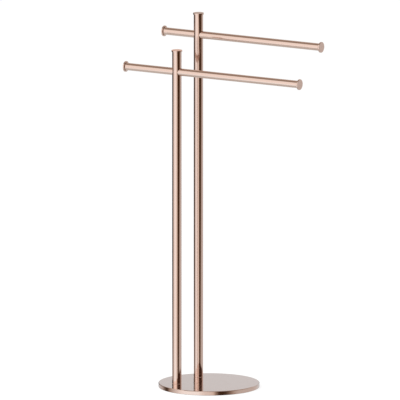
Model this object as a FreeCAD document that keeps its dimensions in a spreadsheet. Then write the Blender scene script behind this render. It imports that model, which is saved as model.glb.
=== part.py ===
"""Freestanding towel stand: two posts on a round weighted base, each with one towel arm.

Millimetres. The origin is the centre of the pad's underside, where the stand rests on the
floor. +Z is up, and +X is the way the long ends of both arms point. The front post stands
towards -Y and carries the lower arm. The rear post stands towards +Y and carries the upper.
"""

import FreeCAD
import Part
import Sketcher
import math
import os

# Each driving dimension: its name, its value and what it measures.
DIMENSIONS = (
    ("base_diameter", 300, "outside diameter of the base cover"),
    ("cover_wall", 1.5, "sheet thickness of the base cover"),
    ("cover_edge_radius", 1.5, "outside rounding of the cover's top edge"),
    ("cover_inner_chamfer", 1, "inside chamfer under that edge"),
    ("weight_thickness", 8.5, "thickness of the steel weight"),
    ("weight_gap", 0.5, "gap between the weight and the cover's skirt"),
    ("weight_chamfer", 1.5, "chamfer of the weight's top edge"),
    ("pad_thickness", 3, "thickness of the floor pad"),
    ("pad_recess", 2, "how far the pad sits up inside the cover's skirt"),
    ("pad_gap", 1, "gap between the pad and the cover's skirt"),
    ("post_setback", 73, "distance from the base's centre back to the posts' axes"),
    ("post_spacing", 128, "distance between the posts' axes"),
    ("post_diameter", 28, "outside diameter of a post's tube"),
    ("post_wall", 1.5, "wall of a post's tube"),
    ("front_post_length", 1000, "length of the front post's tube"),
    ("rear_post_length", 1092, "length of the rear post's tube"),
    ("arm_drop", 60, "depth of an arm's axis below the top of its post's tube"),
    ("arm_diameter", 22, "outside diameter of an arm's tube"),
    ("arm_wall", 1.2, "wall of an arm's tube"),
    ("arm_reach", 414, "long side of an arm's tube, from its post's axis"),
    ("front_arm_stub", 168.5, "short side of the lower arm's tube"),
    ("rear_arm_stub", 110.5, "short side of the upper arm's tube"),
    ("arm_hole_gap", 0.05, "radial clearance of an arm in its post's cross hole"),
    ("arm_cap_overhang", 5, "how far an arm cap's rim stands out from the arm"),
    ("post_cap_overhang", 2, "how far a post cap's rim stands out from the post"),
    ("arm_cap_flare", 4.5, "radius of the concave flare from an arm to its cap's rim"),
    ("post_cap_flare", 0.7, "radius of the same flare under a post cap's rim"),
    ("arm_cap_rim", 3.5, "thickness of an arm cap's rim"),
    ("post_cap_rim", 4.5, "thickness of a post cap's rim"),
    ("rim_chamfer", 0.3, "chamfer around a cap's face"),
    ("spigot_length", 12, "length of a cap's spigot inside its tube"),
    ("spigot_gap", 0.1, "radial clearance of a spigot in its tube"),
    ("spigot_chamfer", 0.8, "lead-in at the spigot's end"),
    ("ring_depth", 1.8, "radial thickness of a retaining ring"),
    ("ring_width", 2, "width of a retaining ring along its spigot"),
    ("ring_side_gap", 0.2, "clearance on each side of a ring in its groove"),
    ("seat_thickness", 0.5, "thickness of the seat ring under a post"),
    ("seat_width", 3, "radial width of the seat ring"),
    ("foot_length", 24, "length of the threaded plug in a post's foot"),
    ("foot_chamfer", 1, "chamfer of the plug's upper edge"),
    ("foot_bore_depth", 21, "depth of the plug's threaded hole"),
    ("screw_diameter", 10, "thread diameter of a post's screw"),
    ("screw_length", 30, "overall length of a post's screw"),
    ("screw_head_diameter", 20, "diameter of its countersunk head"),
    ("screw_head_land", 0.5, "height of the head's straight edge"),
    ("screw_tip_chamfer", 1, "chamfer of the screw's tip"),
    ("screw_key", 6, "width across the flats of its socket"),
    ("screw_key_depth", 3.5, "depth of its socket"),
    ("screw_gap", 0.25, "radial clearance of the screw in the base"),
    ("key_access", 24, "diameter of the pad's hole for the key"),
    ("dowel_diameter", 4, "diameter of the pin that stops a post turning"),
    ("dowel_offset", 8.6, "distance of the pin from the post's axis"),
    ("dowel_in_foot", 8, "length of the pin inside the plug"),
    ("dowel_in_weight", 4, "length of the pin inside the weight"),
    ("dowel_gap", 0.1, "radial clearance of the pin in the base"),
    ("saddle_crown", 3, "height of the clamp saddle above the arm"),
    ("saddle_wrap", 6, "how far the saddle reaches down past the arm's top"),
    ("saddle_gap", 0.2, "radial clearance of the saddle in the post"),
    ("bush_lift", 3, "gap between the saddle and the threaded bush"),
    ("bush_length", 14, "length of the threaded bush"),
    ("grub_diameter", 8, "thread diameter of the clamp screw"),
    ("grub_length", 12, "length of the clamp screw"),
    ("grub_tip_chamfer", 0.8, "chamfer of the clamp screw's tip"),
    ("grub_key", 4, "width across the flats of its socket"),
    ("grub_key_depth", 4, "depth of its socket"),
)

# Sizes and levels that follow from the driving dimensions.
FORMULAS = (
    ("base_radius", "base_diameter / 2"),
    ("weight_radius", "base_radius - cover_wall - weight_gap"),
    ("pad_radius", "base_radius - cover_wall - pad_gap"),
    ("skirt_level", "pad_thickness - pad_recess"),
    ("weight_top", "pad_thickness + weight_thickness"),
    ("base_top", "weight_top + cover_wall"),
    ("cover_height", "base_top - skirt_level"),
    ("foot_level", "base_top + seat_thickness"),
    ("post_radius", "post_diameter / 2"),
    ("post_bore", "post_radius - post_wall"),
    ("arm_radius", "arm_diameter / 2"),
    ("arm_bore", "arm_radius - arm_wall"),
    ("screw_radius", "screw_diameter / 2"),
    ("screw_head_radius", "screw_head_diameter / 2"),
    ("screw_cone", "screw_head_radius - screw_radius"),
    ("dowel_radius", "dowel_diameter / 2"),
    ("dowel_bottom", "weight_top - dowel_in_weight"),
    ("grub_radius", "grub_diameter / 2"),
    ("saddle_low", "arm_radius - saddle_wrap"),
    ("saddle_high", "arm_radius + saddle_crown"),
    ("front_post_top", "foot_level + front_post_length"),
    ("rear_post_top", "foot_level + rear_post_length"),
    ("front_arm_level", "front_post_top - arm_drop - arm_hole_gap"),
    ("rear_arm_level", "rear_post_top - arm_drop - arm_hole_gap"),
    ("groove_half_width", "ring_width / 2 + ring_side_gap"),
)

POST_X = "-dims.post_setback"
POST_Y = {"front": "-dims.post_spacing / 2", "rear": "dims.post_spacing / 2"}
UPRIGHT = FreeCAD.Rotation()
FACING_LONG_END = FreeCAD.Rotation(FreeCAD.Vector(0, 1, 0), 90)
FACING_SHORT_END = FreeCAD.Rotation(FreeCAD.Vector(0, 1, 0), -90)

doc = FreeCAD.newDocument("towel_stand")
sheet = doc.addObject("Spreadsheet::Sheet", "dims")
pieces = []


def fill_sheet():
    """Write the driving dimensions, and below them the sizes that follow from them."""
    row = 1
    for name, value, meaning in DIMENSIONS:
        sheet.set("A%d" % row, meaning)
        sheet.set("B%d" % row, str(value))
        sheet.setAlias("B%d" % row, name)
        row += 1
    for name, formula in FORMULAS:
        sheet.set("A%d" % row, name.replace("_", " "))
        sheet.set("B%d" % row, "=" + formula)
        sheet.setAlias("B%d" % row, name)
        row += 1
    doc.recompute()


def value_of(expression):
    """Return the number that an expression on the sheet gives."""
    return float(sheet.evalExpression(expression.replace("dims.", "")))


def new_body(label, x=None, y=None, z=None, turn=UPRIGHT, grouped=False):
    """Start one piece of the stand, written by itself unless it is grouped with others."""
    body = doc.addObject("PartDesign::Body", label)
    body.Label = label
    body.Placement = FreeCAD.Placement(FreeCAD.Vector(), turn)
    for axis, expression in (("x", x), ("y", y), ("z", z)):
        if expression:
            body.setExpression("Placement.Base." + axis, expression)
    if not grouped:
        pieces.append(body)
    return body


def origin_plane(body, role):
    """Return one of the body's own origin planes."""
    for feature in body.Origin.OriginFeatures:
        if feature.Role == role:
            return feature
    raise LookupError(role)


def new_sketch(body, name, role, lift=None):
    """Start a sketch on an origin plane of the body, lifted off it by an expression."""
    sketch = body.newObject("Sketcher::SketchObject", name)
    sketch.AttachmentSupport = [(origin_plane(body, role), "")]
    sketch.MapMode = "FlatFace"
    if lift:
        sketch.setExpression("AttachmentOffset.Base.z", lift)
    return sketch


def drive(sketch, kind, *args):
    """Add a constraint whose value, its last argument, is an expression."""
    *geometry, expression = args
    number = sketch.addConstraint(Sketcher.Constraint(kind, *geometry, value_of(expression)))
    sketch.setExpression("Constraints[%d]" % number, expression)


def pin_point(sketch, geometry, point, x, y):
    """Hold a point of the sketch at coordinates that are expressions, or None on an axis."""
    if x is None and y is None:
        sketch.addConstraint(Sketcher.Constraint("Coincident", geometry, point, -1, 1))
        return
    for kind, axis, expression in (("DistanceX", -2, x), ("DistanceY", -1, y)):
        if expression is None:
            sketch.addConstraint(Sketcher.Constraint("PointOnObject", geometry, point, axis))
        else:
            drive(sketch, kind, -1, 1, geometry, point, expression)


def draw_circle(sketch, diameter, x=None, y=None):
    """Draw a circle whose diameter and centre follow the sheet."""
    centre = FreeCAD.Vector(value_of(x) if x else 0, value_of(y) if y else 0, 0)
    circle = Part.Circle(centre, FreeCAD.Vector(0, 0, 1), value_of(diameter) / 2)
    number = sketch.addGeometry(circle)
    pin_point(sketch, number, 3, x, y)
    drive(sketch, "Diameter", number, diameter)


def draw_outline(sketch, corners, arcs=None):
    """Draw a closed outline.

    A corner is a pair of expressions, with None for a coordinate on an axis. arcs gives,
    for the side that starts at a corner, its radius and 1 to turn left or -1 to turn right.
    """
    arcs = arcs or {}
    spots = []
    for x, y in corners:
        spots.append(FreeCAD.Vector(value_of(x) if x else 0, value_of(y) if y else 0, 0))
    ends = []
    for index, start in enumerate(spots):
        stop = spots[(index + 1) % len(spots)]
        if index not in arcs:
            sketch.addGeometry(Part.LineSegment(start, stop))
            ends.append((1, 2))
            continue
        radius, side = arcs[index]
        reach = value_of(radius)
        chord = stop - start
        offset = math.sqrt(max(reach**2 - (chord.Length / 2) ** 2, 0))
        across = FreeCAD.Vector(-chord.y, chord.x, 0).normalize()
        centre = (start + stop) / 2 + across * offset * side
        first, last = (start, stop) if side > 0 else (stop, start)
        angles = [math.atan2(p.y - centre.y, p.x - centre.x) for p in (first, last)]
        circle = Part.Circle(centre, FreeCAD.Vector(0, 0, 1), reach)
        sketch.addGeometry(Part.ArcOfCircle(circle, *angles))
        ends.append((1, 2) if side > 0 else (2, 1))
    for index, (x, y) in enumerate(corners):
        follower = (index + 1) % len(corners)
        stop, start = ends[index][1], ends[follower][0]
        sketch.addConstraint(Sketcher.Constraint("Coincident", index, stop, follower, start))
        pin_point(sketch, index, ends[index][0], x, y)
    for index, (radius, side) in arcs.items():
        drive(sketch, "Radius", index, radius)


def draw_hexagon(sketch, across_flats):
    """Draw a hexagon about the sketch's origin."""
    reach = "%s / (2 * cos(30 deg))" % across_flats
    spots = []
    for step in range(7):
        angle = math.radians(60 * step - 30)
        spot = FreeCAD.Vector(math.cos(angle), math.sin(angle), 0) * value_of(reach)
        spots.append(spot)
    for start, stop in zip(spots, spots[1:]):
        sketch.addGeometry(Part.LineSegment(start, stop))
    circle = Part.Circle(FreeCAD.Vector(), FreeCAD.Vector(0, 0, 1), value_of(reach))
    ring = sketch.addGeometry(circle, True)
    pin_point(sketch, ring, 3, None, None)
    drive(sketch, "Radius", ring, reach)
    for index in range(6):
        follower = (index + 1) % 6
        sketch.addConstraint(Sketcher.Constraint("Coincident", index, 2, follower, 1))
        sketch.addConstraint(Sketcher.Constraint("PointOnObject", index, 1, ring))
        if index:
            sketch.addConstraint(Sketcher.Constraint("Equal", 0, index))
    sketch.addConstraint(Sketcher.Constraint("Vertical", 0))


def revolve(body, corners, arcs=None):
    """Turn an outline in the body's XZ plane about the body's own Z axis."""
    sketch = new_sketch(body, body.Label + "_outline", "XZ_Plane")
    draw_outline(sketch, corners, arcs)
    turned = body.newObject("PartDesign::Revolution", body.Label + "_turned")
    turned.Profile = sketch
    turned.ReferenceAxis = (sketch, ["V_Axis"])
    turned.Angle = 360
    return turned


def pad(body, sketch, length):
    """Raise a sketch along its normal."""
    raised = body.newObject("PartDesign::Pad", sketch.Name + "_pad")
    raised.Profile = sketch
    raised.setExpression("Length", length)
    return raised


def pocket(body, sketch, depth=None, both_ways=False, upward=False):
    """Cut a sketch into the body: through it, or to a depth that is an expression."""
    cut = body.newObject("PartDesign::Pocket", sketch.Name + "_cut")
    cut.Profile = sketch
    cut.Reversed = upward
    if depth:
        cut.setExpression("Length", depth)
    else:
        cut.Type = "ThroughAll"
    if both_ways:
        cut.SideType = "Symmetric"
    return cut


def mirror_to_rear(body, features):
    """Repeat features of the front post's seat at the rear post's."""
    mirrored = body.newObject("PartDesign::Mirrored", body.Label + "_rear_seat")
    mirrored.Originals = features
    mirrored.MirrorPlane = (origin_plane(body, "XZ_Plane"), [""])
    body.Tip = mirrored


def build_base_cover():
    """The visible round plate: a sheet shell with a skirt, pierced under each post."""
    body = new_body("base_cover", z="dims.skirt_level")
    inside = "dims.base_radius - dims.cover_wall"
    ceiling = "dims.cover_height - dims.cover_wall"
    corners = (
        (None, ceiling),
        (inside + " - dims.cover_inner_chamfer", ceiling),
        (inside, ceiling + " - dims.cover_inner_chamfer"),
        (inside, None),
        ("dims.base_radius", None),
        ("dims.base_radius", "dims.cover_height - dims.cover_edge_radius"),
        ("dims.base_radius - dims.cover_edge_radius", "dims.cover_height"),
        (None, "dims.cover_height"),
    )
    revolve(body, corners, {5: ("dims.cover_edge_radius", 1)})
    seat = new_sketch(body, "cover_seat", "XY_Plane")
    draw_circle(seat, "dims.screw_diameter + 2 * dims.screw_gap", POST_X, POST_Y["front"])
    pin_x = POST_X + " + dims.dowel_offset"
    draw_circle(seat, "dims.dowel_diameter + 2 * dims.dowel_gap", pin_x, POST_Y["front"])
    mirror_to_rear(body, [pocket(body, seat, upward=True)])


def build_base_weight():
    """The steel disc inside the cover, countersunk from beneath for the posts' screws."""
    body = new_body("base_weight", z="dims.pad_thickness")
    corners = (
        (None, None),
        ("dims.weight_radius", None),
        ("dims.weight_radius", "dims.weight_thickness - dims.weight_chamfer"),
        ("dims.weight_radius - dims.weight_chamfer", "dims.weight_thickness"),
        (None, "dims.weight_thickness"),
    )
    revolve(body, corners)
    seat = new_sketch(body, "weight_seat", "XY_Plane")
    draw_circle(seat, "dims.screw_diameter + 2 * dims.screw_gap", POST_X, POST_Y["front"])
    doc.recompute()
    hole = body.newObject("PartDesign::Hole", "screw_hole")
    hole.Profile = seat
    hole.Reversed = True
    hole.Threaded = False
    hole.DepthType = "ThroughAll"
    hole.HoleCutType = "Countersink"
    hole.HoleCutCustomValues = True
    hole.HoleCutCountersinkAngle = 90
    hole.setExpression("Diameter", "dims.screw_diameter + 2 * dims.screw_gap")
    hole.setExpression("HoleCutDiameter", "dims.screw_head_diameter")
    pin = new_sketch(body, "dowel_seat", "XY_Plane", lift="dims.weight_thickness")
    pin_x = POST_X + " + dims.dowel_offset"
    draw_circle(pin, "dims.dowel_diameter + 2 * dims.dowel_gap", pin_x, POST_Y["front"])
    mirror_to_rear(body, [hole, pocket(body, pin, depth="dims.dowel_in_weight")])


def build_base_pad():
    """The soft disc that the stand rests on, with a hole for the key under each post."""
    body = new_body("base_pad")
    disc = new_sketch(body, "pad_disc", "XY_Plane")
    draw_circle(disc, "2 * dims.pad_radius")
    pad(body, disc, "dims.pad_thickness")
    access = new_sketch(body, "pad_access", "XY_Plane")
    draw_circle(access, "dims.key_access", POST_X, POST_Y["front"])
    mirror_to_rear(body, [pocket(body, access, upward=True)])


def build_post_tube(which):
    """A post's tube, with a cross hole near its top that the arm passes through."""
    body = new_body(which + "_post_tube", POST_X, POST_Y[which], "dims.foot_level")
    ring = new_sketch(body, which + "_post_section", "XY_Plane")
    draw_circle(ring, "dims.post_diameter")
    draw_circle(ring, "2 * dims.post_bore")
    length = "dims.%s_post_length" % which
    pad(body, ring, length)
    cross = new_sketch(body, which + "_cross_hole", "YZ_Plane")
    draw_circle(cross, "dims.arm_diameter + 2 * dims.arm_hole_gap", y=length + " - dims.arm_drop")
    pocket(body, cross, both_ways=True)


def build_post_seat(which):
    """The thin ring between a post and the base, which keeps the finishes apart."""
    body = new_body(which + "_post_seat", POST_X, POST_Y[which], "dims.base_top")
    ring = new_sketch(body, which + "_seat_section", "XY_Plane")
    draw_circle(ring, "dims.post_diameter")
    draw_circle(ring, "dims.post_diameter - 2 * dims.seat_width")
    pad(body, ring, "dims.seat_thickness")


def build_post_foot(which):
    """The threaded plug pressed into a post's lower end."""
    body = new_body(which + "_post_foot", POST_X, POST_Y[which], "dims.foot_level")
    corners = (
        ("dims.screw_radius", None),
        ("dims.post_bore", None),
        ("dims.post_bore", "dims.foot_length - dims.foot_chamfer"),
        ("dims.post_bore - dims.foot_chamfer", "dims.foot_length"),
        (None, "dims.foot_length"),
        (None, "dims.foot_bore_depth"),
        ("dims.screw_radius", "dims.foot_bore_depth"),
    )
    revolve(body, corners)
    pin = new_sketch(body, which + "_foot_pin_hole", "XY_Plane")
    draw_circle(pin, "dims.dowel_diameter", x="dims.dowel_offset")
    pocket(body, pin, depth="dims.dowel_in_foot", upward=True)


def build_post_screw(which):
    """The countersunk screw that draws a post down onto the base from beneath."""
    level = "dims.pad_thickness - dims.screw_head_land"
    body = new_body(which + "_post_screw", POST_X, POST_Y[which], level)
    neck = "dims.screw_head_land + dims.screw_cone"
    corners = (
        (None, None),
        ("dims.screw_head_radius", None),
        ("dims.screw_head_radius", "dims.screw_head_land"),
        ("dims.screw_radius", neck),
        ("dims.screw_radius", "dims.screw_length - dims.screw_tip_chamfer"),
        ("dims.screw_radius - dims.screw_tip_chamfer", "dims.screw_length"),
        (None, "dims.screw_length"),
    )
    revolve(body, corners)
    socket = new_sketch(body, which + "_screw_socket", "XY_Plane")
    draw_hexagon(socket, "dims.screw_key")
    pocket(body, socket, depth="dims.screw_key_depth", upward=True)


def build_post_dowel(which):
    """The pin beside the screw, which keeps a post from turning on the base."""
    x = POST_X + " + dims.dowel_offset"
    body = new_body(which + "_post_dowel", x, POST_Y[which], "dims.dowel_bottom")
    section = new_sketch(body, which + "_dowel_section", "XY_Plane")
    draw_circle(section, "dims.dowel_diameter")
    pad(body, section, "dims.foot_level + dims.dowel_in_foot - dims.dowel_bottom")


def build_arm_tube(which):
    """An arm's tube, in one length from end to end through its post."""
    level = "dims.%s_arm_level" % which
    stub = "dims.%s_arm_stub" % which
    body = new_body(which + "_arm_tube", POST_X, POST_Y[which], level)
    ring = new_sketch(body, which + "_arm_section", "YZ_Plane", lift="-" + stub)
    draw_circle(ring, "dims.arm_diameter")
    draw_circle(ring, "2 * dims.arm_bore")
    pad(body, ring, stub + " + dims.arm_reach")


def build_cap(label, kind, x, y, z, turn=UPRIGHT):
    """An end cap turned from bar: a spigot with a ring groove, a flare and a disc-shaped rim.

    kind is arm or post. The cap's own origin is where its shoulder meets the tube's end.
    """
    body = new_body(label, x, y, z, turn)
    tube = "dims.%s_radius" % kind
    rim = "%s + dims.%s_cap_overhang" % (tube, kind)
    flare = "dims.%s_cap_flare" % kind
    face = "%s + dims.%s_cap_rim" % (flare, kind)
    spigot = "dims.%s_bore - dims.spigot_gap" % kind
    groove = "dims.%s_bore - dims.ring_depth" % kind
    middle = "-dims.spigot_length / 2"
    corners = (
        (None, "-dims.spigot_length"),
        (spigot + " - dims.spigot_chamfer", "-dims.spigot_length"),
        (spigot, "-dims.spigot_length + dims.spigot_chamfer"),
        (spigot, middle + " - dims.groove_half_width"),
        (groove, middle + " - dims.groove_half_width"),
        (groove, middle + " + dims.groove_half_width"),
        (spigot, middle + " + dims.groove_half_width"),
        (spigot, None),
        (tube, None),
        ("%s + %s" % (tube, flare), flare),
        (rim, flare),
        (rim, face + " - dims.rim_chamfer"),
        (rim + " - dims.rim_chamfer", face),
        (None, face),
    )
    revolve(body, corners, {8: (flare, -1)})


def build_cap_ring(label, kind, x, y, z, turn=UPRIGHT, grouped=False):
    """The ring in a cap's groove that grips the tube. It shares its cap's origin."""
    body = new_body(label, x, y, z, turn, grouped)
    low = "-dims.spigot_length / 2 - dims.ring_width / 2"
    section = new_sketch(body, label + "_section", "XY_Plane", lift=low)
    draw_circle(section, "2 * dims.%s_bore" % kind)
    draw_circle(section, "2 * (dims.%s_bore - dims.ring_depth)" % kind)
    pad(body, section, "dims.ring_width")
    return body


def build_post_top(which):
    """The cap on a post and its ring."""
    spot = (POST_X, POST_Y[which], "dims.%s_post_top" % which)
    build_cap(which + "_post_cap", "post", *spot)
    build_cap_ring(which + "_post_cap_ring", "post", *spot)


def build_arm_ends(which):
    """The caps on both ends of an arm, and their two rings as a group of separate solids."""
    ends = (
        ("long", POST_X + " + dims.arm_reach", FACING_LONG_END),
        ("short", "%s - dims.%s_arm_stub" % (POST_X, which), FACING_SHORT_END),
    )
    rings = []
    for end, x, turn in ends:
        spot = (x, POST_Y[which], "dims.%s_arm_level" % which, turn)
        build_cap("%s_arm_%s_cap" % (which, end), "arm", *spot)
        rings.append(build_cap_ring("%s_%s_ring" % (which, end), "arm", *spot, grouped=True))
    group = doc.addObject("Part::Compound", which + "_arm_cap_rings")
    group.Label = which + "_arm_cap_rings"
    group.Links = rings
    pieces.append(group)


def build_arm_saddle(which):
    """The saddle inside a post that presses on the arm's top."""
    level = "dims.%s_arm_level" % which
    body = new_body(which + "_arm_saddle", POST_X, POST_Y[which], level)
    section = new_sketch(body, which + "_saddle_section", "XY_Plane", lift="dims.saddle_low")
    draw_circle(section, "2 * (dims.post_bore - dims.saddle_gap)")
    pad(body, section, "dims.saddle_high - dims.saddle_low")
    hollow = new_sketch(body, which + "_saddle_hollow", "YZ_Plane")
    draw_circle(hollow, "dims.arm_diameter")
    pocket(body, hollow, both_ways=True)


def build_lock_bush(which):
    """The threaded bush pressed into a post above the saddle."""
    level = "dims.%s_arm_level + dims.saddle_high + dims.bush_lift" % which
    body = new_body(which + "_lock_bush", POST_X, POST_Y[which], level)
    ring = new_sketch(body, which + "_bush_section", "XY_Plane")
    draw_circle(ring, "2 * dims.post_bore")
    draw_circle(ring, "dims.grub_diameter")
    pad(body, ring, "dims.bush_length")


def build_grub_screw(which):
    """The headless screw in the bush, turned with a key from the post's open top."""
    level = "dims.%s_arm_level + dims.saddle_high" % which
    body = new_body(which + "_grub_screw", POST_X, POST_Y[which], level)
    corners = (
        (None, None),
        ("dims.grub_radius - dims.grub_tip_chamfer", None),
        ("dims.grub_radius", "dims.grub_tip_chamfer"),
        ("dims.grub_radius", "dims.grub_length"),
        (None, "dims.grub_length"),
    )
    revolve(body, corners)
    socket = new_sketch(body, which + "_grub_socket", "XY_Plane", lift="dims.grub_length")
    draw_hexagon(socket, "dims.grub_key")
    pocket(body, socket, depth="dims.grub_key_depth")


def check_document():
    """Stop if any object failed, cut nothing or has no sound solid."""
    for item in doc.Objects:
        if "Invalid" in item.State or "Error" in item.State:
            raise RuntimeError("%s failed: %s" % (item.Label, item.State))
        if item.TypeId in ("PartDesign::Pocket", "PartDesign::Hole", "PartDesign::Mirrored"):
            if item.Shape.Volume >= item.BaseFeature.Shape.Volume - 1e-6:
                raise RuntimeError("%s cuts nothing" % item.Label)
    for piece in pieces:
        shape = piece.Shape
        if shape.isNull() or not shape.isValid() or not shape.Solids:
            raise RuntimeError("%s has no sound solid" % piece.Label)


def write_pieces():
    """Write each piece to a file of its own name."""
    os.makedirs("parts", exist_ok=True)
    for piece in pieces:
        piece.Shape.exportStep(os.path.join("parts", piece.Label + ".step"))
        count = len(piece.Shape.Solids)
        print("%-22s %d solid(s), %.1f cm3" % (piece.Label, count, piece.Shape.Volume / 1000))


def build_stand():
    """Build every piece in the order of assembly, check them and write them out."""
    fill_sheet()
    build_base_cover()
    build_base_weight()
    build_base_pad()
    for which in POST_Y:
        build_post_seat(which)
        build_post_tube(which)
        build_post_foot(which)
        build_post_dowel(which)
        build_post_screw(which)
        build_arm_tube(which)
        build_arm_saddle(which)
        build_lock_bush(which)
        build_grub_screw(which)
        build_arm_ends(which)
        build_post_top(which)
    doc.recompute()
    check_document()
    write_pieces()


build_stand()
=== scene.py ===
"""The looks of the freestanding towel stand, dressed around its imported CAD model.

Everything is in metres, in the frame of the CAD model. +Z is up, and the long ends of both
arms point along +X. The front post stands towards -Y and carries the lower arm. Azimuths are
in degrees round the stand, from where the camera is, and grow towards the camera's right.
"""

import logging
import math
from abc import ABC, abstractmethod
from collections.abc import Callable, Sequence
from dataclasses import dataclass, field
from enum import Enum
from functools import partial
from typing import Any

import bpy
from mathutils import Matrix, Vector


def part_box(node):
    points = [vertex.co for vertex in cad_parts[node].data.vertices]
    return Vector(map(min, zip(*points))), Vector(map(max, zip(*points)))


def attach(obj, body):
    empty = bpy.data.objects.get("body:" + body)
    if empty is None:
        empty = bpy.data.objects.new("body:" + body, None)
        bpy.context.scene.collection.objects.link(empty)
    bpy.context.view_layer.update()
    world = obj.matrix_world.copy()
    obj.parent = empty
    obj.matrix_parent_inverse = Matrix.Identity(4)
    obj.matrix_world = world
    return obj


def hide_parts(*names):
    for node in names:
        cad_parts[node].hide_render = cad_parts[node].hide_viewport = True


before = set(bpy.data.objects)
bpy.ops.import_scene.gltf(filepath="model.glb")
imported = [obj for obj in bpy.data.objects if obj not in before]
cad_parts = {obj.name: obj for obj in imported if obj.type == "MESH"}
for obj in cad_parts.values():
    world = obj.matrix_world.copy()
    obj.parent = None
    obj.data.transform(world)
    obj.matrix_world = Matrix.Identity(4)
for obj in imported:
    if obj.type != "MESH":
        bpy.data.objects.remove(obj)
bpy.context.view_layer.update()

ROOT = "root"
MM = 0.001
LOG = logging.getLogger("towel_stand")

Colour = tuple[float, float, float]
Stretch = tuple[float, float, float]
Span = tuple[float, float]
RadiusAt = Callable[[float], float]


# Shader maths


class Signal:
    """An output socket of a shader node, which takes part in plain arithmetic."""

    def __init__(self, graph: "Graph", socket: bpy.types.NodeSocket | None) -> None:
        """Wrap a socket, or no socket for a node that ends its graph."""
        self.graph = graph
        self.socket = socket

    def _math(self, operation: str, first: "Signal | float", second: "Signal | float") -> "Signal":
        """Add a Math node that takes two values."""
        return self.graph.add("ShaderNodeMath", {"operation": operation}, {0: first, 1: second})

    def __add__(self, other: "Signal | float") -> "Signal":
        """Add a value to this one."""
        return self._math("ADD", self, other)

    def __radd__(self, other: float) -> "Signal":
        """Add this value to a number."""
        return self._math("ADD", other, self)

    def __sub__(self, other: "Signal | float") -> "Signal":
        """Take a value from this one."""
        return self._math("SUBTRACT", self, other)

    def __rsub__(self, other: float) -> "Signal":
        """Take this value from a number."""
        return self._math("SUBTRACT", other, self)

    def __mul__(self, other: "Signal | float") -> "Signal":
        """Multiply this value by another."""
        return self._math("MULTIPLY", self, other)

    def __rmul__(self, other: float) -> "Signal":
        """Multiply a number by this value."""
        return self._math("MULTIPLY", other, self)

    def __truediv__(self, other: "Signal | float") -> "Signal":
        """Divide this value by another."""
        return self._math("DIVIDE", self, other)

    def __rtruediv__(self, other: float) -> "Signal":
        """Divide a number by this value."""
        return self._math("DIVIDE", other, self)


class Graph:
    """A shader's node tree, and the one way in which nodes are added to it."""

    MIX_FACTOR = 0
    MIX_COLOURS = (6, 7)
    MIX_RESULT = 2

    def __init__(self, tree: bpy.types.NodeTree) -> None:
        """Empty the node tree of a material or a world and start from there."""
        self.tree = tree
        self.tree.nodes.clear()

    def add(
        self,
        kind: str,
        settings: dict[str, Any] | None = None,
        sockets: dict[str | int, Any] | None = None,
        output: str | int = 0,
    ) -> Signal:
        """Add a node, set it up and feed it.

        Args:
            kind: The node's type.
            settings: The node's own settings.
            sockets: The value or the link of each input socket.
            output: The output socket to return.

        Returns:
            The chosen output.
        """
        node = self.tree.nodes.new(kind)
        for name, value in (settings or {}).items():
            setattr(node, name, value)
        for name, value in (sockets or {}).items():
            if isinstance(value, Signal):
                self.tree.links.new(value.socket, node.inputs[name])
            else:
                node.inputs[name].default_value = value
        return Signal(self, node.outputs[output] if node.outputs else None)

    def blend(
        self, first: Signal | Colour, second: Signal | Colour, share: Signal | float
    ) -> Signal:
        """Mix two colours.

        Args:
            first: The colour where the share is 0.
            second: The colour where the share is 1.
            share: The share of the second colour.

        Returns:
            The mixed colour.
        """
        sockets: dict[str | int, Any] = {self.MIX_FACTOR: share}
        for socket, colour in zip(self.MIX_COLOURS, (first, second)):
            sockets[socket] = (*colour, 1.0) if isinstance(colour, tuple) else colour
        return self.add("ShaderNodeMix", {"data_type": "RGBA"}, sockets, output=self.MIX_RESULT)

    def smooth_step(self, value: Signal, low: float, high: float) -> Signal:
        """Rise smoothly from 0 to 1.

        Args:
            value: What the step is taken on.
            low: Where the step starts.
            high: Where the step ends.

        Returns:
            The step.
        """
        return self.add(
            "ShaderNodeMapRange",
            {"interpolation_type": "SMOOTHSTEP"},
            {"Value": value, "From Min": low, "From Max": high},
        )

    def noise(self, stretch: Stretch, detail: float) -> Signal:
        """Add a noise fixed to the object.

        Args:
            stretch: How many times the noise changes in a metre along X, Y and Z.
            detail: How many finer layers the noise has.

        Returns:
            The noise, from 0 to 1.
        """
        place = self.add("ShaderNodeTexCoord", output="Object")
        scaled = self.add(
            "ShaderNodeVectorMath", {"operation": "MULTIPLY"}, {0: place, 1: stretch}
        )
        return self.noise_at(scaled, detail)

    def noise_at(self, place: Signal, detail: float) -> Signal:
        """Take the noise at a place that is stretched already."""
        sockets = {"Vector": place, "Scale": 1.0, "Detail": detail}
        return self.add("ShaderNodeTexNoise", {}, sockets)

    def axes(self, vector: Signal) -> tuple[Signal, ...]:
        """Split a vector into its three parts."""
        parts = self.add("ShaderNodeSeparateXYZ", {}, {0: vector}).socket.node
        return tuple(Signal(self, output) for output in parts.outputs)


# Finishes


class Grain(Enum):
    """The way in which a piece was polished.

    The numbers say how many times the grain changes in a metre along X, Y and Z. Spun pieces
    have their grain in rings, and only the first number counts, along the radius.
    """

    ROUND_THE_POST = (90.0, 90.0, 2600.0)
    ROUND_THE_ARM = (2600.0, 90.0, 90.0)
    SPUN = (2600.0, 0.0, 0.0)


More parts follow.
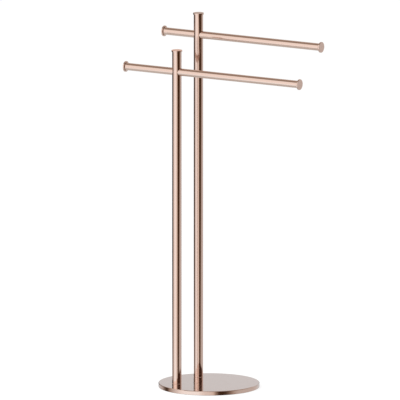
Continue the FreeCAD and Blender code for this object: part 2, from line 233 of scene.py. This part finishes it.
@dataclass(frozen=True)
class Finish(ABC):
    """A finish that becomes one material."""

    name: str
    colour: Colour
    roughness: float

    def material(self) -> bpy.types.Material:
        """Make the material.

        Returns:
            A material whose nodes give the finish.
        """
        made = bpy.data.materials.new(self.name)
        made.use_nodes = True
        graph = Graph(made.node_tree)
        shader = graph.add("ShaderNodeBsdfPrincipled", {}, self.sockets(graph))
        graph.add("ShaderNodeOutputMaterial", {}, {"Surface": shader})
        return made

    @abstractmethod
    def sockets(self, graph: Graph) -> dict[str | int, Any]:
        """Give the shader's inputs.

        Args:
            graph: The material's graph.

        Returns:
            The value or the link of each input that isn't left as it is.
        """

    def shade(self, factor: float) -> Colour:
        """Return the finish's colour made lighter or darker."""
        red, green, blue = (min(1.0, part * factor) for part in self.colour)
        return red, green, blue

    @staticmethod
    def relief(graph: Graph, height: Signal, depth: float) -> Signal:
        """Turn a height from 0 to 1 into the normal of a relief, whose depth is in metres."""
        return graph.add("ShaderNodeBump", {}, {"Height": height, "Distance": depth})


@dataclass(frozen=True)
class RoseGold(Finish):
    """Brushed rose gold plate with a fine grain, faint smudges and a faint change of tone."""

    grain: Grain = Grain.ROUND_THE_POST
    centre: Vector = field(default_factory=Vector)
    grain_depth: float = 1.5e-6
    grain_detail: float = 3.0
    grain_roughness: float = 0.10
    smudge_stretch: Stretch = (26.0, 26.0, 19.0)
    smudge_detail: float = 4.0
    smudge_roughness: float = 0.05
    tone_stretch: Stretch = (9.0, 9.0, 5.0)
    tone_detail: float = 2.0
    tones: Span = (0.985, 1.01)

    def sockets(self, graph: Graph) -> dict[str | int, Any]:
        """Give the shader's inputs.

        Args:
            graph: The material's graph.

        Returns:
            The value or the link of each input that isn't left as it is.
        """
        if self.grain is Grain.SPUN:
            scratches = self._spun_scratches(graph)
        else:
            scratches = graph.noise(self.grain.value, self.grain_detail)
        tone = graph.noise(self.tone_stretch, self.tone_detail)
        smudge = graph.noise(self.smudge_stretch, self.smudge_detail)
        dull = (scratches - 0.5) * self.grain_roughness + (smudge - 0.5) * self.smudge_roughness
        darker, lighter = self.tones
        return {
            "Base Color": graph.blend(self.shade(darker), self.shade(lighter), tone),
            "Metallic": 1.0,
            "Roughness": dull + self.roughness,
            "Normal": self.relief(graph, scratches, self.grain_depth),
        }

    def _spun_scratches(self, graph: Graph) -> Signal:
        """Scratch rings round the finish's centre.

        Args:
            graph: The material's graph.

        Returns:
            The scratches' height, from 0 to 1.
        """
        place = graph.add("ShaderNodeTexCoord", output="Object")
        off_centre = graph.add(
            "ShaderNodeVectorMath", {"operation": "SUBTRACT"}, {0: place, 1: tuple(self.centre)}
        )
        radius = graph.add(
            "ShaderNodeVectorMath", {"operation": "LENGTH"}, {0: off_centre}, output="Value"
        )
        rings = graph.add("ShaderNodeCombineXYZ", {}, {"X": radius * self.grain.value[0]})
        return graph.noise_at(rings, self.grain_detail)


@dataclass(frozen=True)
class BareMetal(Finish):
    """Unplated or zinc plated metal with tool marks and a patchy, slightly dull film."""

    film: Colour = (0.2, 0.2, 0.2)
    film_share: float = 0.3
    mark_stretch: Stretch = (700.0, 700.0, 2400.0)
    mark_detail: float = 2.0
    mark_depth: float = 4e-6
    mark_roughness: float = 0.1
    patch_stretch: Stretch = (220.0, 220.0, 220.0)
    patch_detail: float = 5.0
    patch_edge: Span = (0.42, 0.7)
    patch_roughness: float = 0.14

    def sockets(self, graph: Graph) -> dict[str | int, Any]:
        """Give the shader's inputs.

        Args:
            graph: The material's graph.

        Returns:
            The value or the link of each input that isn't left as it is.
        """
        marks = graph.noise(self.mark_stretch, self.mark_detail)
        stains = graph.noise(self.patch_stretch, self.patch_detail)
        patches = graph.smooth_step(stains, *self.patch_edge)
        dull = patches * self.patch_roughness + (marks - 0.5) * self.mark_roughness
        return {
            "Base Color": graph.blend(self.colour, self.film, patches * self.film_share),
            "Metallic": 1.0,
            "Roughness": dull + self.roughness,
            "Normal": self.relief(graph, marks, self.mark_depth),
        }


@dataclass(frozen=True)
class SoftPolymer(Finish):
    """A rubber, foam or nylon with a fine skin and a little dust."""

    skin_scale: float = 1800.0
    skin_detail: float = 3.0
    skin_depth: float = 30e-6
    skin_roughness: float = 0.15
    dust_scale: float = 60.0
    dust_detail: float = 4.0
    tones: Span = (0.85, 1.25)

    def sockets(self, graph: Graph) -> dict[str | int, Any]:
        """Give the shader's inputs.

        Args:
            graph: The material's graph.

        Returns:
            The value or the link of each input that isn't left as it is.
        """
        skin = graph.noise((self.skin_scale,) * 3, self.skin_detail)
        dust = graph.noise((self.dust_scale,) * 3, self.dust_detail)
        darker, lighter = self.tones
        return {
            "Base Color": graph.blend(self.shade(darker), self.shade(lighter), dust),
            "Roughness": (skin - 0.5) * self.skin_roughness + self.roughness,
            "Normal": self.relief(graph, skin, self.skin_depth),
        }


ROSE_GOLD: Colour = (0.92, 0.70, 0.61)
TUBE_ROUGHNESS = 0.11
TUBE_GRAIN_DEPTH = 7e-6
PLATE_ROUGHNESS = 0.12
CAP_ROUGHNESS = 0.12


def plated_tube(name: str, grain: Grain) -> RoseGold:
    """Return the finish of a tube, which is brushed more than the turned pieces."""
    finish = f"rose_gold_{name}"
    return RoseGold(finish, ROSE_GOLD, TUBE_ROUGHNESS, grain, grain_depth=TUBE_GRAIN_DEPTH)


def zinc_plate(name: str) -> BareMetal:
    """Return the finish of a zinc plated screw."""
    return BareMetal(f"zinc_{name}", (0.62, 0.63, 0.66), 0.27, film=(0.5, 0.47, 0.36))


def ring_rubber(name: str) -> SoftPolymer:
    """Return the finish of the caps' retaining rings."""
    return SoftPolymer(f"ring_rubber_{name}", (0.022, 0.022, 0.024), 0.6)


# Sub-assemblies


class Side(Enum):
    """One post with its arm."""

    FRONT = "front"
    REAR = "rear"


class Assembly(ABC):
    """A sub-assembly of the stand."""

    @abstractmethod
    def build(self) -> None:
        """Build the sub-assembly's own pieces and dress all of its nodes."""

    @staticmethod
    def dress(node: str, material: bpy.types.Material) -> None:
        """Give a CAD node its material.

        Args:
            node: The node's name.
            material: The material for all of its faces.
        """
        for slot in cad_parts[node].material_slots:
            slot.material = material
        LOG.info("dressed %s with %s", node, material.name)

    @classmethod
    def dress_cap(cls, node: str) -> None:
        """Dress a cap, with scratches that go round its own axis.

        Args:
            node: The cap's node.
        """
        low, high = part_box(node)
        centre = (low + high) / 2
        finish = RoseGold(f"rose_gold_{node}", ROSE_GOLD, CAP_ROUGHNESS, Grain.SPUN, centre)
        cls.dress(node, finish.material())

    @staticmethod
    def keep(piece: bpy.types.Object, material: bpy.types.Material, node: str, slot: str) -> None:
        """Put a modelled piece in the place of a CAD node.

        Args:
            piece: The modelled piece.
            material: Its material.
            node: The CAD node that it stands for.
            slot: Not used.
        """
        piece.data.materials.append(material)
        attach(piece, ROOT)
        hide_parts(node)
        LOG.info("built %s in the place of %s", piece.name, node)


@dataclass(frozen=True)
class Blank:
    """The place and size of an upright CAD screw, from which the real one is cut.

    The foot is the middle of its underside.
    """

    foot: Vector
    radius: float
    length: float

    @classmethod
    def between(cls, low: Vector, high: Vector) -> "Blank":
        """Measure a CAD screw by its box.

        Args:
            low: The box's lowest corner.
            high: The box's highest corner.

        Returns:
            The blank that fills the box.
        """
        foot = Vector(((low.x + high.x) / 2, (low.y + high.y) / 2, low.z))
        return cls(foot, (high.x - low.x) / 2, high.z - low.z)


def round_ring(radius: float) -> RadiusAt:
    """Return the radius of a circle at any angle."""
    return lambda angle: radius


def hexagon_ring(across_flats: float) -> RadiusAt:
    """Return the radius of a hexagon at any angle, with a corner at angle 0."""
    sector = math.pi / 3
    return lambda angle: across_flats / 2 / math.cos(angle % sector - sector / 2)


@dataclass(frozen=True)
class Thread:
    """A screw thread of one start, with straight flanks and flat crests and roots.

    The flank's slope is how many times the thread's depth it would fall in a whole pitch. The
    crest is how much of that fall, in depths, the flat top takes away.
    """

    radius: float
    pitch: float
    depth_share: float = 0.6
    steps_per_pitch: int = 8
    flank_slope: float = 2.6
    crest: float = 0.15

    def rings(self, low: float, high: float) -> list[tuple[float, RadiusAt]]:
        """Give the rings of a threaded stretch.

        Args:
            low: The height at which the thread starts.
            high: The height at which it ends.

        Returns:
            The height of each ring and its radius at any angle.
        """
        count = round((high - low) / self.pitch * self.steps_per_pitch)
        found = []
        for step in range(count + 1):
            height = low + (high - low) * step / count
            fade = min(1.0, (height - low) / self.pitch, (high - height) / self.pitch)
            found.append((height, partial(self._radius, height, max(0.0, fade))))
        return found

    def _radius(self, height: float, fade: float, angle: float) -> float:
        """Give the thread's radius at one point.

        Args:
            height: The point's height.
            fade: How much of the thread's depth is cut at that height.
            angle: The point's angle round the screw.

        Returns:
            The radius.
        """
        phase = (height / self.pitch - angle / math.tau) % 1.0
        flank = min(1.0, max(0.0, self.flank_slope * abs(phase - 0.5) - self.crest))
        return self.radius - self.pitch * self.depth_share * flank * fade


def skin_rings(
    name: str,
    place: Vector,
    rings: Sequence[tuple[float, RadiusAt]],
    sides: int = 48,
    crease: float = 35.0,
) -> bpy.types.Object:
    """Make a closed piece from rings round an upright axis.

    Args:
        name: The piece's name.
        place: The point of the axis from which the rings' heights are counted.
        rings: The height and the radius at any angle of each ring, in order along the skin.
        sides: The number of points in a ring.
        crease: The angle in degrees from which an edge is sharp.

    Returns:
        The piece, with its place in its mesh.
    """
    angles = [math.tau * step / sides for step in range(sides)]
    points = []
    for height, radius_at in rings:
        for angle in angles:
            reach = radius_at(angle)
            out = Vector((reach * math.cos(angle), reach * math.sin(angle), height))
            points.append(place + out)
    faces = []
    for ring in range(len(rings) - 1):
        low, high = ring * sides, (ring + 1) * sides
        for side in range(sides):
            after = (side + 1) % sides
            faces.append((low + side, low + after, high + after, high + side))
    last = (len(rings) - 1) * sides
    for start, turn, height in ((0, -1, rings[0][0]), (last, 1, rings[-1][0])):
        points.append(place + Vector((0, 0, height)))
        for side in range(sides):
            edge = (start + side, start + (side + 1) % sides)
            faces.append((*edge[::turn], len(points) - 1))
    mesh = bpy.data.meshes.new(name)
    mesh.from_pydata(points, [], faces)
    mesh.shade_smooth()
    mesh.set_sharp_from_angle(angle=math.radians(crease))
    piece = bpy.data.objects.new(name, mesh)
    bpy.context.scene.collection.objects.link(piece)
    return piece


@dataclass
class Base(Assembly):
    """The round cover, the weight inside it and the foam pad on which it all rests."""

    pad_edge: float = 0.4 * MM
    pad_edge_steps: int = 2
    pad_crease: float = 10.0
    key_access: float = 24 * MM
    circle_steps: int = 40

    def build(self) -> None:
        """Build the pad and dress the cover and the weight."""
        top = Vector((0.0, 0.0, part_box("base_cover")[1].z))
        cover = RoseGold("rose_gold_cover", ROSE_GOLD, PLATE_ROUGHNESS, Grain.SPUN, top)
        self.dress("base_cover", cover.material())
        steel = BareMetal("oiled_steel", (0.34, 0.34, 0.35), 0.38, film=(0.11, 0.09, 0.07))
        self.dress("base_weight", steel.material())
        foam = SoftPolymer("black_foam", (0.035, 0.035, 0.037), 0.85, skin_scale=1500.0)
        pad = self._pad()
        self.keep(pad, foam.material(), "base_pad", "floor_pad")

    def _pad(self) -> bpy.types.Object:
        """Cut the foam disc, with a rounded edge and a hole for the key under each post.

        Returns:
            The pad.
        """
        low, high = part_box("base_pad")
        curve = bpy.data.curves.new("floor_pad", "CURVE")
        curve.dimensions = "2D"
        curve.fill_mode = "BOTH"
        curve.resolution_u = self.circle_steps
        curve.extrude = (high.z - low.z) / 2 - self.pad_edge
        curve.bevel_depth = self.pad_edge
        curve.bevel_resolution = self.pad_edge_steps
        curve.offset = -self.pad_edge
        self._add_circle(curve, Vector((0.0, 0.0)), high.x)
        for side in Side:
            foot = Blank.between(*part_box(f"{side.value}_post_screw")).foot
            self._add_circle(curve, foot.xy, self.key_access / 2)
        drawn = bpy.data.objects.new("floor_pad_outline", curve)
        bpy.context.scene.collection.objects.link(drawn)
        drawn.location.z = (low.z + high.z) / 2
        bpy.context.view_layer.update()
        ready = drawn.evaluated_get(bpy.context.evaluated_depsgraph_get())
        mesh = bpy.data.meshes.new_from_object(ready)
        mesh.transform(drawn.matrix_world)
        bpy.data.objects.remove(drawn)
        mesh.name = "floor_pad"
        mesh.shade_smooth()
        mesh.set_sharp_from_angle(angle=math.radians(self.pad_crease))
        pad = bpy.data.objects.new("floor_pad", mesh)
        bpy.context.scene.collection.objects.link(pad)
        return pad

    @staticmethod
    def _add_circle(curve: bpy.types.Curve, centre: Vector, radius: float) -> None:
        """Add a circle of four smooth points to a flat curve.

        Args:
            curve: The curve.
            centre: The circle's centre.
            radius: The circle's radius.
        """
        spline = curve.splines.new("BEZIER")
        spline.bezier_points.add(3)
        spline.use_cyclic_u = True
        reach = radius * 4 / 3 * math.tan(math.pi / 8)
        for quarter, point in enumerate(spline.bezier_points):
            angle = quarter * math.pi / 2
            out = Vector((math.cos(angle), math.sin(angle), 0.0))
            along = Vector((-out.y, out.x, 0.0))
            point.co = centre.to_3d() + out * radius
            point.handle_left = point.co - along * reach
            point.handle_right = point.co + along * reach


@dataclass
class Post(Assembly):
    """One post: its tube, the parts in its foot and the cap on its top."""

    side: Side
    thread: Thread = Thread(radius=5 * MM, pitch=1.5 * MM)
    thread_gap: float = 0.5 * MM
    tip_chamfer: float = 1 * MM
    head_land: float = 0.5 * MM
    head_edge: Span = (0.3 * MM, 0.2 * MM)
    key: float = 6 * MM
    key_depth: float = 3.5 * MM
    key_lead_in: float = 0.3 * MM

    def build(self) -> None:
        """Build the screw and dress the rest of the post."""
        post = f"{self.side.value}_post"
        self.dress(f"{post}_tube", plated_tube(post, Grain.ROUND_THE_POST).material())
        steel = BareMetal(f"plain_steel_{post}", (0.4, 0.4, 0.41), 0.34).material()
        self.dress(f"{post}_foot", steel)
        self.dress(f"{post}_dowel", steel)
        name = f"nylon_{self.side.value}"
        nylon = SoftPolymer(name, (0.62, 0.43, 0.35), 0.30, skin_depth=5e-6)
        self.dress(f"{post}_seat", nylon.material())
        self.dress(f"{post}_cap_ring", ring_rubber(post).material())
        self.dress_cap(f"{post}_cap")
        self.keep(self._screw(), zinc_plate(post).material(), f"{post}_screw", "zinc_steel")

    def _screw(self) -> bpy.types.Object:
        """Turn the countersunk screw, with its thread and the socket in its head.

        Returns:
            The screw.
        """
        blank = Blank.between(*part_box(f"{self.side.value}_post_screw"))
        head, shank = blank.radius, self.thread.radius
        edge_width, edge_height = self.head_edge
        neck = self.head_land + head - shank
        socket = hexagon_ring(self.key)
        rings = [
            (self.key_depth, socket),
            (self.key_lead_in, socket),
            (0.0, hexagon_ring(self.key + 2 * self.key_lead_in)),
            (0.0, round_ring(head - edge_width)),
            (edge_height, round_ring(head)),
            (self.head_land, round_ring(head)),
            (neck, round_ring(shank)),
            *self.thread.rings(neck + self.thread_gap, blank.length - self.tip_chamfer),
            (blank.length, round_ring(shank - self.tip_chamfer)),
        ]
        return skin_rings(f"{self.side.value}_threaded_screw", blank.foot, rings)


@dataclass
class Arm(Assembly):
    """One arm: its tube, its two caps and the clamp that holds it inside its post."""

    side: Side
    thread: Thread = Thread(radius=4 * MM, pitch=1.25 * MM)
    thread_gap: float = 0.1 * MM
    screw_sides: int = 36
    tip_chamfer: float = 0.8 * MM
    top_chamfer: float = 0.4 * MM
    key: float = 4 * MM
    key_depth: float = 4 * MM
    key_lead_in: float = 0.25 * MM

    def build(self) -> None:
        """Build the clamp screw and dress the rest of the arm."""
        name = self.side.value
        arm = f"{name}_arm"
        self.dress(f"{arm}_tube", plated_tube(arm, Grain.ROUND_THE_ARM).material())
        brass = BareMetal(f"brass_{name}", (0.78, 0.57, 0.26), 0.26, film=(0.42, 0.27, 0.1))
        raw = brass.material()
        self.dress(f"{arm}_saddle", raw)
        self.dress(f"{name}_lock_bush", raw)
        self.dress(f"{arm}_cap_rings", ring_rubber(arm).material())
        self.dress_cap(f"{arm}_long_cap")
        self.dress_cap(f"{arm}_short_cap")
        self.keep(self._grub(), zinc_plate(arm).material(), f"{name}_grub_screw", "zinc_steel")

    def _grub(self) -> bpy.types.Object:
        """Turn the headless clamp screw, with its thread and its socket.

        Returns:
            The clamp screw.
        """
        blank = Blank.between(*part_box(f"{self.side.value}_grub_screw"))
        radius, length = self.thread.radius, blank.length
        thread_foot = self.tip_chamfer + self.thread_gap
        thread_top = length - self.top_chamfer - self.thread_gap
        socket = hexagon_ring(self.key)
        rings = [
            (0.0, round_ring(radius - self.tip_chamfer)),
            (self.tip_chamfer, round_ring(radius)),
            *self.thread.rings(thread_foot, thread_top),
            (length - self.top_chamfer, round_ring(radius)),
            (length, round_ring(radius - self.top_chamfer)),
            (length, hexagon_ring(self.key + 2 * self.key_lead_in)),
            (length - self.key_lead_in, socket),
            (length - self.key_depth, socket),
        ]
        name = f"{self.side.value}_threaded_grub"
        return skin_rings(name, blank.foot, rings, self.screw_sides)


# Studio


@dataclass(frozen=True)
class Camera:
    """A distant camera at the photograph's angle, which sees no perspective.

    The picture is as wide as it is high. Its size and the place of the middle of the cover's
    top in it are in pixels, and the pixel is the width of one, in metres.
    """

    azimuth: float = 30.0
    elevation: float = 10.5
    picture: float = 400.0
    pixel: float = 2.967 * MM
    plate_x: float = 208.98
    plate_y: float = 382.24
    distance: float = 4.0
    clip_end: float = 100.0

    def place(self) -> None:
        """Make the camera so that the plate's middle falls where the photograph has it."""
        turn, tilt = math.radians(self.azimuth), math.radians(self.elevation)
        away, level = math.cos(tilt), math.sin(tilt)
        back = Vector((math.sin(turn) * away, -math.cos(turn) * away, level))
        right = Vector((math.cos(turn), math.sin(turn), 0.0))
        up = back.cross(right)
        plate = Vector((0.0, 0.0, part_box("base_cover")[1].z))
        across = (self.picture / 2 - self.plate_x) * self.pixel
        above = (self.plate_y - self.picture / 2) * self.pixel
        camera = bpy.data.cameras.new("camera")
        camera.type = "ORTHO"
        camera.ortho_scale = self.picture * self.pixel
        camera.clip_end = self.clip_end
        holder = bpy.data.objects.new("camera", camera)
        holder.rotation_mode = "QUATERNION"
        holder.rotation_quaternion = (-back).to_track_quat("-Z", "Y")
        holder.location = plate + right * across + up * above + back * self.distance
        bpy.context.scene.collection.objects.link(holder)
        bpy.context.scene.camera = holder


@dataclass(frozen=True)
class Panel:
    """A softbox, board or flag that stands round the stand, with soft edges.

    The left and the right edge are azimuths from the camera, in degrees: where the panel
    starts to fade in or out, and where it has done so. A lean moves an edge round the stand as
    the panel goes up, in degrees to the metre. The foot is the height at which the panel fades
    in and the height at which it is whole. A panel that hangs down has the second lower. An
    edge or a foot that isn't given is beyond what the metal mirrors.
    """

    colour: Colour
    left: Span | None = None
    right: Span | None = None
    foot: Span | None = None
    lean_left: float = 0.0
    lean_right: float = 0.0

    def over(
        self, graph: Graph, behind: Signal | Colour, azimuth: Signal, height: Signal
    ) -> Signal:
        """Put the panel in front of what stands behind it.

        Args:
            graph: The graph to add to.
            behind: The colour behind the panel.
            azimuth: The azimuth from the camera, from -180 to 180.
            height: The height, in metres.

        Returns:
            The colour with the panel.
        """
        share: Signal | float = 1.0
        if self.left:
            share = share * graph.smooth_step(azimuth - height * self.lean_left, *self.left)
        if self.right:
            beyond = graph.smooth_step(azimuth - height * self.lean_right, *self.right)
            share = share * (1 - beyond)
        if self.foot:
            share = share * graph.smooth_step(height, *self.foot)
        return graph.blend(behind, self.colour, share)


@dataclass(frozen=True)
class Studio:
    """The floor, the lamp and what the metal mirrors: a ring of panels, a ceiling and a ground.

    Panels are listed from the back to the front. From the photograph's angle little but the rim
    of the cover mirrors the ring below -0.7 m, and so the rim has cards of its own there.
    """

    camera_azimuth: float = 30.0
    wall_radius: float = 4.0
    wall_low: float = -2.0
    wall_high: float = 1.02
    wall_steps: int = 96
    wall: Colour = (0.55, 0.53, 0.52)
    wall_panels: tuple[Panel, ...] = (
        # the cool wall far behind, which the plate and the tubes' edges mirror
        Panel((0.63, 0.67, 0.70), left=(114, 164)),
        Panel((0.63, 0.67, 0.70), right=(-170, -126)),
        # the white softbox on the left and the warm one in front
        Panel((1.0, 1.0, 1.0), left=(-96, -50), right=(-36, 26)),
        Panel((0.70, 0.58, 0.48), left=(-30, 20), right=(40, 66)),
        # the board and the flags at the far left
        Panel((0.36, 0.29, 0.245), left=(-155, -130), right=(-104, -84), lean_left=-28),
        Panel((0.06, 0.035, 0.02), left=(-157, -131), right=(-110, -98), lean_left=-28),
        Panel((0.02, 0.01, 0.005), left=(-176, -166), right=(-112, -102), foot=(-0.78, -0.33)),
        # the leaning board on the right
        Panel((0.34, 0.27, 0.22), left=(1, 13), right=(69, 99), lean_left=-8, lean_right=36),
        # the rim's cards
        Panel((0.92, 1.05, 1.1), left=(-82, -50), right=(-30, -6), foot=(-0.7, -0.703)),
        Panel((0.74, 0.76, 0.77), left=(-24, -8), right=(3, 17), foot=(-0.7, -0.703)),
        Panel((0.03, 0.012, 0.004), left=(17.5, 23), right=(32, 58), foot=(-0.7, -0.703)),
        # the flag on the right that makes the posts' dark stripe, a higher one, a low board
        Panel(
            (0.05, 0.022, 0.008),
            left=(6.8, 13.8),
            right=(53, 83),
            foot=(-0.703, -0.7),
            lean_left=-5,
            lean_right=25,
        ),
        Panel((0.03, 0.008, 0.002), left=(10, 22), right=(86, 112), foot=(0.42, 0.62)),
        Panel((0.20, 0.16, 0.13), left=(18, 40), right=(108, 132), foot=(-0.8, -1.2)),
    )
    ceiling: Colour = (0.52, 0.46, 0.42)
    ceiling_panels: tuple[Panel, ...] = (
        # the board at the far left, the softbox on the left and the board high above both
        Panel((0.28, 0.24, 0.20), left=(-160, -140), right=(-115, -100)),
        Panel((0.93, 0.91, 0.88), left=(-118, -85), right=(-40, 40)),
        Panel((0.30, 0.24, 0.195), right=(-50, -22), foot=(0.68, 0.80)),
        # the flag on the right and the lighter board that hangs under it
        Panel((0.10, 0.07, 0.052), left=(16, 34), right=(118, 146)),
        Panel((0.40, 0.325, 0.28), left=(58, 82), right=(126, 150), foot=(0.50, 0.42)),
        # the ground, and its darker part on the right
        Panel((0.555, 0.575, 0.565), foot=(-0.2, -0.5)),
        Panel((0.20, 0.16, 0.13), left=(10, 40), right=(108, 132), foot=(-0.2, -0.5)),
    )
    background: Colour = (1.0, 1.0, 1.0)
    fill: Colour = (0.8, 0.8, 0.8)
    floor_size: float = 40.0
    floor_drop: float = 0.1 * MM
    floor_colour: Colour = (0.93, 0.93, 0.93)
    floor_glow: float = 1.12
    floor_glow_share: float = 0.7
    lamp_size: float = 2.4
    lamp_power: float = 60.0
    lamp_place: tuple[float, float, float] = (-1.4, -1.8, 3.0)
    lamp_aim: tuple[float, float, float] = (0.0, 0.0, 0.3)

    def build(self) -> None:
        """Make the world, the wall, the floor and the lamp."""
        self._world()
        self._wall()
        self._floor()
        self._lamp()
        bpy.context.scene.view_settings.view_transform = "Standard"

    def _mirrored(
        self, graph: Graph, place: Signal, back: Colour, panels: Sequence[Panel]
    ) -> Signal | Colour:
        """Colour what the metal mirrors by its azimuth and height.

        Args:
            graph: The graph to add to.
            place: The point or the direction to colour.
            back: The colour behind the panels.
            panels: The panels, from the back to the front.

        Returns:
            The colour.
        """
        east, north, up = graph.axes(place)
        turn = graph.add("ShaderNodeMath", {"operation": "ARCTAN2"}, {0: north, 1: east})
        circles = turn / math.tau + ((90 - self.camera_azimuth) / 360 + 0.5)
        share = graph.add("ShaderNodeMath", {"operation": "FRACT"}, {0: circles})
        azimuth = (share - 0.5) * 360
        colour: Signal | Colour = back
        for panel in panels:
            colour = panel.over(graph, colour, azimuth, up)
        return colour

    def _world(self) -> None:
        """Make the world: white behind the stand, and a ceiling and a ground in its metal."""
        world = bpy.data.worlds.new("studio")
        bpy.context.scene.world = world
        world.use_nodes = True
        graph = Graph(world.node_tree)
        direction = graph.add("ShaderNodeTexCoord", output="Generated")
        seen = self._mirrored(graph, direction, self.ceiling, self.ceiling_panels)
        in_metal = graph.add("ShaderNodeLightPath", output="Is Glossy Ray")
        in_view = graph.add("ShaderNodeLightPath", output="Is Camera Ray")
        colour = graph.blend(self.fill, seen, in_metal)
        colour = graph.blend(colour, self.background, in_view)
        light = graph.add("ShaderNodeBackground", {}, {"Color": colour})
        graph.add("ShaderNodeOutputWorld", {}, {"Surface": light})

    def _wall(self) -> None:
        """Make the ring of panels that only shows in the metal."""
        steps = self.wall_steps
        points = []
        for height in (self.wall_low, self.wall_high):
            for step in range(steps):
                angle = math.tau * step / steps
                x, y = self.wall_radius * math.cos(angle), self.wall_radius * math.sin(angle)
                points.append((x, y, height))
        faces = []
        for step in range(steps):
            after = (step + 1) % steps
            faces.append((step, after, steps + after, steps + step))
        wall = self._stage("wall", points, faces)
        material = bpy.data.materials.new("wall")
        material.use_nodes = True
        graph = Graph(material.node_tree)
        place = graph.add("ShaderNodeNewGeometry", output="Position")
        colour = self._mirrored(graph, place, self.wall, self.wall_panels)
        light = graph.add("ShaderNodeEmission", {}, {"Color": colour})
        graph.add("ShaderNodeOutputMaterial", {}, {"Surface": light})
        wall.data.materials.append(material)
        wall.visible_camera = False
        wall.visible_diffuse = False
        wall.visible_shadow = False
        wall.visible_transmission = False

    def _floor(self) -> None:
        """Make the pale floor, which keeps the stand's shadow and is clear from beneath.

        It lies a hair below the pad, since rays can't tell two faces in one plane apart.
        """
        half, low = self.floor_size / 2, -self.floor_drop
        corners = [(-half, -half, low), (half, -half, low), (half, half, low), (-half, half, low)]
        floor = self._stage("floor", corners, [(0, 1, 2, 3)])
        material = bpy.data.materials.new("floor")
        material.use_nodes = True
        graph = Graph(material.node_tree)
        matt = graph.add("ShaderNodeBsdfDiffuse", {}, {"Color": (*self.floor_colour, 1.0)})
        glow = graph.add("ShaderNodeEmission", {}, {"Strength": self.floor_glow})
        in_view = graph.add("ShaderNodeLightPath", output="Is Camera Ray")
        share = in_view * self.floor_glow_share
        lit = graph.add("ShaderNodeMixShader", {}, {0: share, 1: matt, 2: glow})
        clear = graph.add("ShaderNodeBsdfTransparent")
        beneath = graph.add("ShaderNodeNewGeometry", output="Backfacing")
        both = graph.add("ShaderNodeMixShader", {}, {0: beneath, 1: lit, 2: clear})
        graph.add("ShaderNodeOutputMaterial", {}, {"Surface": both})
        floor.data.materials.append(material)
        floor.visible_glossy = False

    def _lamp(self) -> None:
        """Hang one large soft lamp, which the metal doesn't mirror."""
        lamp = bpy.data.lights.new("softbox", "AREA")
        lamp.shape = "DISK"
        lamp.size = self.lamp_size
        lamp.energy = self.lamp_power
        holder = bpy.data.objects.new("softbox", lamp)
        holder.location = self.lamp_place
        aim = Vector(self.lamp_aim) - holder.location
        holder.rotation_mode = "QUATERNION"
        holder.rotation_quaternion = aim.to_track_quat("-Z", "Y")
        holder.visible_glossy = False
        bpy.context.scene.collection.objects.link(holder)

    @staticmethod
    def _stage(name: str, points: Sequence[tuple], faces: Sequence[tuple]) -> bpy.types.Object:
        """Make a part of the studio from a mesh.

        Args:
            name: Its name.
            points: The mesh's points.
            faces: The mesh's faces.

        Returns:
            The object.
        """
        mesh = bpy.data.meshes.new(name)
        mesh.from_pydata(points, [], faces)
        made = bpy.data.objects.new(name, mesh)
        bpy.context.scene.collection.objects.link(made)
        return made


def main() -> None:
    """Set the camera, build the stand and light it."""
    logging.basicConfig(level=logging.INFO, format="%(name)s: %(message)s")
    Camera().place()
    Base().build()
    for side in Side:
        Post(side).build()
        Arm(side).build()
    Studio().build()


if __name__ == "__main__":
    main()
